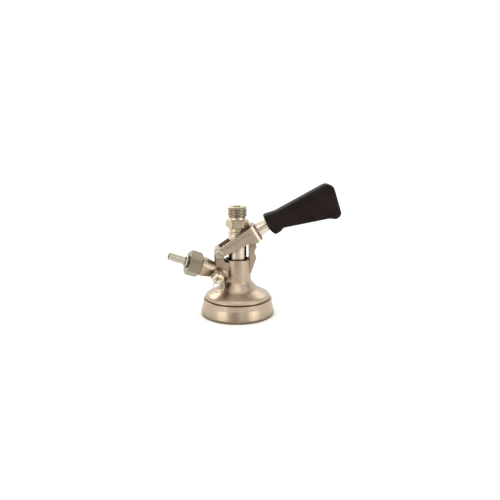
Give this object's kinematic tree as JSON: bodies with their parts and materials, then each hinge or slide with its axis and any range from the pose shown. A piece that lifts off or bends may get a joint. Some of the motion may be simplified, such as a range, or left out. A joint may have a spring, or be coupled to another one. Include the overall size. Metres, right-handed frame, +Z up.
{
  "type": "keg coupler",
  "caption": "Bell-shaped keg coupler with a forked lever that drives a sliding beer probe, a latch in the lever's stem, a side gas inlet and a relief valve with a pull ring.",
  "frame": {"origin": "centre of the bell's mouth, on the plane of its rim", "axes": "+Z up along the probe towards the beer outlet, +X towards the lever's grip, -Y towards the relief valve"},
  "size_m": [0.2036, 0.0874, 0.1552],
  "materials": {
    "satin_body": "satin nickel plate on a brass forging, fine turned and blasted grain",
    "satin_tube": "turned stainless steel tube",
    "outlet_metal": "nickel-plated brass, darker in the thread",
    "lever_metal": "satin nickel plate on a forging",
    "bright_stem": "polished plate",
    "nut_metal": "machined and plated hexagon",
    "polished_steel": "polished stainless steel",
    "black_grip": "moulded black plastic with a soft gloss",
    "black_rubber": "moulded food-grade rubber",
    "white_plastic": "plain moulded plastic"
  },
  "bodies": {
    "body": {"body": "satin_body", "keg_seal": "black_rubber", "neck_oring_lower": "black_rubber", "neck_oring_upper": "black_rubber", "pivot_pin": "polished_steel", "pivot_clip": "polished_steel", "gas_washer": "white_plastic", "gas_tail": "bright_stem", "gas_nut": "nut_metal", "gas_check_valve": "black_rubber", "relief_cap": "bright_stem", "relief_spring": "polished_steel"},
    "lever": {"fork": "lever_metal", "drive_pins": "polished_steel", "stem": "bright_stem", "latch_spring": "polished_steel", "stem_plug": "polished_steel"},
    "grip": {"grip": "black_grip", "cross_pin": "polished_steel", "latch_plunger": "polished_steel"},
    "probe": {"probe": "satin_tube", "probe_tip_seal": "black_rubber", "ball_cage": "white_plastic", "beer_outlet": "outlet_metal"},
    "check_ball": {"check_ball": "polished_steel"},
    "relief_stem": {"relief_stem": "polished_steel", "relief_seal": "black_rubber"},
    "pull_ring": {"pull_ring": "polished_steel"}
  },
  "joints": [
    {"name": "lever_swing", "type": "hinge", "parent": "body", "child": "lever", "pos_m": [-0.022, 0, 0.076], "axis": [0, 1, 0], "range_deg": [0, 31.5]},
    {"name": "probe_slide", "type": "slide", "parent": "body", "child": "probe", "axis": [0, 0, -1], "range_m": [0, 0.01194]},
    {"name": "latch_slide", "type": "slide", "parent": "lever", "child": "grip", "axis": [-0.8526, 0, -0.5225], "range_m": [0, 0.004], "stiffness_N_per_m": 300, "springref_m": 0.006, "deforming": ["latch_spring"]},
    {"name": "ball_lift", "type": "slide", "parent": "probe", "child": "check_ball", "axis": [0, 0, 1], "range_m": [0, 0.0032]},
    {"name": "relief_pull", "type": "slide", "parent": "body", "child": "relief_stem", "axis": [0.0755, -0.9446, -0.3193], "range_m": [0, 0.0025], "stiffness_N_per_m": 800, "springref_m": -0.002, "deforming": ["relief_spring"]},
    {"name": "ring_swing", "type": "hinge", "parent": "relief_stem", "child": "pull_ring", "pos_m": [-0.02354, -0.02729, 0.04722], "axis": [-0.9968, -0.0797, 0], "range_deg": [-30, 100]}
  ],
  "couplings": [
    {"joint": "probe_slide", "follows": "lever_swing", "m_per_rad": 0.02172}
  ]
}
